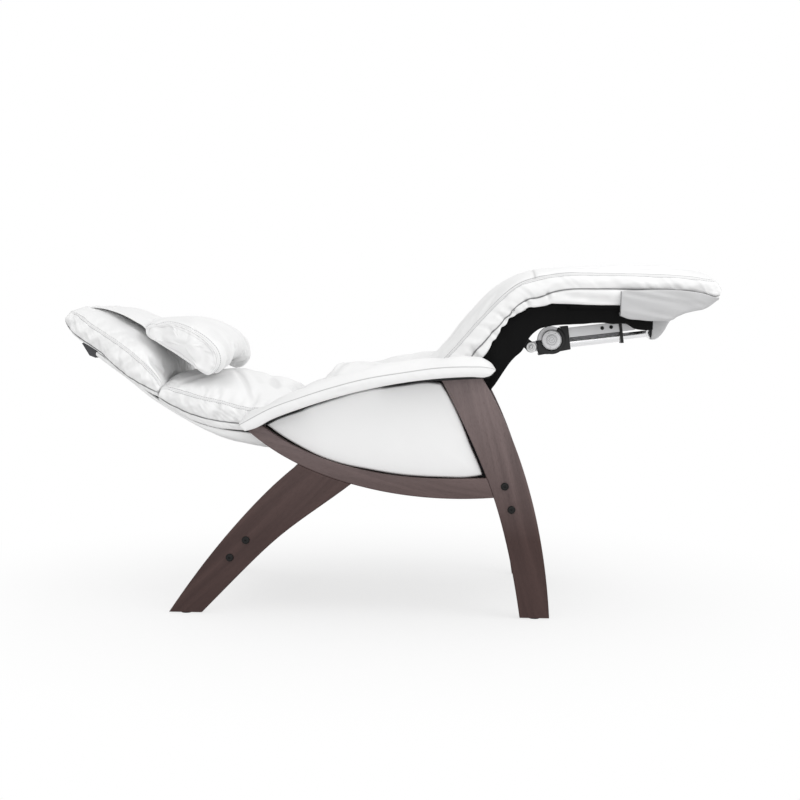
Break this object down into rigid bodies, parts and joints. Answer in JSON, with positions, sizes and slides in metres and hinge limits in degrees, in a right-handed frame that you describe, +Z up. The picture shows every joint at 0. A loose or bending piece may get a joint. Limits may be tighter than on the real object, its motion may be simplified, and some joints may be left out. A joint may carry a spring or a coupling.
{
  "type": "massage chair",
  "caption": "Power recliner with vibration massage: bowed wood side frames, tilting seat, coupled back, raised leg rest on a linear actuator, neck pillow.",
  "frame": {"origin": "on the floor, under the middle of the bounding box", "axes": "+X towards the sitter's feet, +Y to the sitter's left, +Z up; the chair is drawn fully reclined with the leg rest raised"},
  "size_m": [1.7, 0.75, 0.915],
  "materials": {
    "aluminium": "anodised",
    "black_board": "black painted plywood",
    "black_plastic": "fine texture",
    "black_steel": "black powder coat",
    "chrome": "polished",
    "cloth": "black cambric",
    "leather": "smooth white leather",
    "plywood": "bare plywood",
    "steel": "bright",
    "webbing": "woven webbing",
    "wood": "satin stained hardwood"
  },
  "bodies": {
    "base": {"front_leg_left": "wood", "front_leg_right": "wood", "rear_leg_left": "wood", "rear_leg_right": "wood", "bottom_rail_left": "wood", "bottom_rail_right": "wood", "arm_board_left": "black_board", "arm_board_right": "black_board", "arm_pad_left": "leather", "arm_pad_right": "leather", "side_panel_left": "leather", "side_panel_right": "leather", "backing_boards": "black_board", "pivot_plates": "black_steel", "front_crossbeam": "wood", "rear_crossbeam": "wood", "frame_bolts": "black_steel", "barrel_nuts": "steel", "floor_glides": "black_plastic", "control_box": "black_plastic", "power_inlet": "black_plastic", "tilt_base_bracket": "black_steel"},
    "seat": {"seat_side_plates": "black_steel", "seat_cross_tubes": "black_steel", "seat_deck": "plywood", "seat_massage_motors": "black_plastic", "seat_cushion": "leather", "thigh_liner": "cloth", "actuator_brackets": "black_steel", "hinge_pins": "steel"},
    "back": {"back_side_plates": "black_steel", "back_cross_tubes": "black_steel", "back_webbing": "webbing", "back_massage_motors": "black_plastic", "back_shell": "leather", "head_bracket": "black_steel", "back_cushion": "leather", "head_cushion": "leather", "pillow_flap": "leather"},
    "pillow": {"neck_pillow": "leather"},
    "leg_rest": {"leg_rest_side_plates": "black_steel", "leg_rest_cross_tubes": "black_steel", "leg_rest_deck": "plywood", "leg_rest_cushion": "leather", "leg_liner": "cloth", "foot_hood": "leather", "leg_rest_bracket": "black_steel", "calf_massage_motors": "black_plastic"},
    "leg_actuator": {"leg_gear_case": "aluminium", "leg_motor_housing": "black_plastic", "leg_gear_cover": "aluminium", "leg_outer_tube": "chrome", "leg_guide_channel": "aluminium", "channel_screws": "steel", "tube_clamp": "black_plastic"},
    "leg_rod": {"leg_rod": "chrome"},
    "tilt_actuator": {"tilt_motor_housing": "black_plastic", "tilt_outer_tube": "chrome"},
    "tilt_rod": {"tilt_rod": "chrome"},
    "links": {"recline_links": "black_steel"}
  },
  "joints": [
    {"name": "seat_tilt", "type": "hinge", "parent": "base", "child": "seat", "pos_m": [-0.27, 0, 0.44], "axis": [0, 1, 0], "range_deg": [0, 22]},
    {"name": "back_recline", "type": "hinge", "parent": "seat", "child": "back", "pos_m": [-0.2, 0, 0.515], "axis": [0, 1, 0], "range_deg": [0, 27.11]},
    {"name": "pillow_slide", "type": "slide", "parent": "back", "child": "pillow", "axis": [-0.8387, 0, 0.5446], "range_m": [0, 0.06]},
    {"name": "leg_lift", "type": "hinge", "parent": "seat", "child": "leg_rest", "pos_m": [0.35, 0, 0.785], "axis": [0, 1, 0], "range_deg": [0, 40]},
    {"name": "leg_actuator_swing", "type": "hinge", "parent": "seat", "child": "leg_actuator", "pos_m": [0.374, -0.06, 0.691], "axis": [0, 1, 0], "range_deg": [0, 45.2]},
    {"name": "leg_rod_slide", "type": "slide", "parent": "leg_actuator", "child": "leg_rod", "axis": [0.9923, 0, 0.124], "range_m": [-0.06084, 0]},
    {"name": "tilt_actuator_swing", "type": "hinge", "parent": "base", "child": "tilt_actuator", "pos_m": [-0.336, 0, 0.222], "axis": [0, 1, 0], "range_deg": [0, 11.95]},
    {"name": "tilt_rod_slide", "type": "slide", "parent": "tilt_actuator", "child": "tilt_rod", "axis": [0.8231, 0, 0.5679], "range_m": [-0.05973, 0]},
    {"name": "recline_link_swing", "type": "hinge", "parent": "base", "child": "links", "pos_m": [-0.155, 0, 0.486], "axis": [0, 1, 0], "range_deg": [-9.77, 0]}
  ],
  "couplings": [
    {"joint": "back_recline", "follows": "seat_tilt", "ratio": 1.23},
    {"joint": "tilt_actuator_swing", "follows": "seat_tilt", "ratio": 0.54078},
    {"joint": "tilt_rod_slide", "follows": "seat_tilt", "m_per_rad": -0.15531},
    {"joint": "recline_link_swing", "follows": "seat_tilt", "ratio": -0.44204},
    {"joint": "leg_actuator_swing", "follows": "leg_lift", "ratio": 1.1287},
    {"joint": "leg_rod_slide", "follows": "leg_lift", "m_per_rad": -0.087009}
  ]
}
